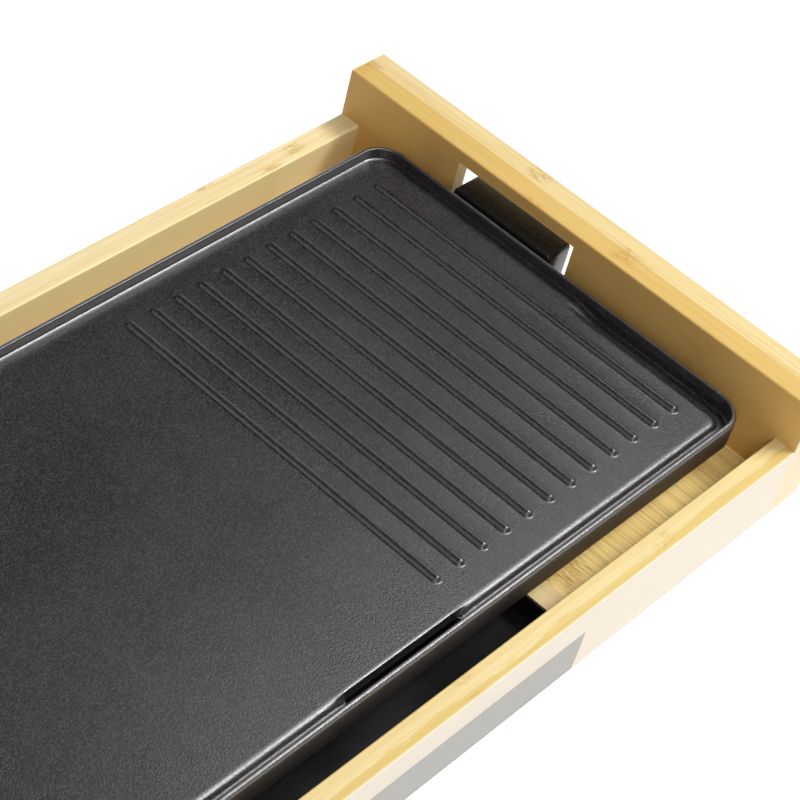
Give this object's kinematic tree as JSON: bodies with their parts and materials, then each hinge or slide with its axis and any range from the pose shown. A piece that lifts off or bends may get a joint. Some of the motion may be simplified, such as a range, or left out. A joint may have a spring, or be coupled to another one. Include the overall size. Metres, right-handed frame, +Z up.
{
  "type": "electric table grill",
  "caption": "Low bamboo table frame holding a cast non-stick hot plate, ribbed on one side, with a plug socket in the end board and a drip tray that slides out at the front.",
  "frame": {"origin": "middle of the frame's footprint, on the table under the rubber feet", "axes": "+Z up, +X to the right along the long side towards the plug socket, +Y from the drawer side to the back"},
  "size_m": [0.527, 0.29, 0.0743],
  "materials": {
    "bamboo": "clear satin lacquer on vertical-grain bamboo",
    "bamboo_floor": "satin bamboo with grain running front to back",
    "bamboo_strip": "paler satin bamboo",
    "dowel_wood": "plain beech",
    "rubber": "matte",
    "steel_screw": "zinc-plated",
    "tray_enamel": "semi-gloss black non-stick",
    "drawer_front_grey": "satin grey paint",
    "plate_coating": "fine speckled matte non-stick coating on cast aluminium",
    "element_steel": "dull heat-darkened steel",
    "sheet_steel": "plain galvanised sheet",
    "leg_phenolic": "matte heat-proof moulding",
    "silicone": "matte heat-proof silicone",
    "socket_phenolic": "glossy black heat-proof moulding",
    "ceramic": "unglazed steatite",
    "contact_nickel": "nickel-plated"
  },
  "bodies": {
    "frame": {"front_board": "bamboo", "back_board": "bamboo", "left_end_board": "bamboo", "right_end_board": "bamboo", "floor_panel_left": "bamboo_floor", "floor_panel_right": "bamboo_floor", "floor_panel_rear": "bamboo_floor", "floor_strip_left": "bamboo_strip", "floor_strip_right": "bamboo_strip", "corner_dowels": "dowel_wood", "rubber_feet": "rubber", "foot_screws": "steel_screw", "tray_runner_left": "bamboo", "tray_runner_right": "bamboo", "runner_screws": "steel_screw", "tray_stop": "bamboo"},
    "tray": {"drip_tray": "tray_enamel", "drip_tray_front": "drawer_front_grey", "tray_screws": "steel_screw"},
    "hot_plate": {"grill_plate": "plate_coating", "heating_element": "element_steel", "element_clamps": "sheet_steel", "clamp_screws": "steel_screw", "heat_shield": "sheet_steel", "shield_screws": "steel_screw", "plate_legs": "leg_phenolic", "leg_pads": "silicone", "leg_screws": "steel_screw", "socket_bracket": "sheet_steel", "bracket_screws": "steel_screw", "socket_housing_upper": "socket_phenolic", "socket_housing_lower": "socket_phenolic", "housing_screws": "steel_screw", "terminal_insulators": "ceramic", "contact_pins": "contact_nickel", "probe_sleeve": "contact_nickel", "earth_contact": "contact_nickel"}
  },
  "joints": [
    {"name": "tray_slide", "type": "slide", "parent": "frame", "child": "tray", "axis": [0, -1, 0], "range_m": [0, 0.11]},
    {"name": "plate_shift", "type": "slide", "parent": "frame", "child": "hot_plate", "axis": [-1, 0, 0], "range_m": [0, 0.011]}
  ]
}
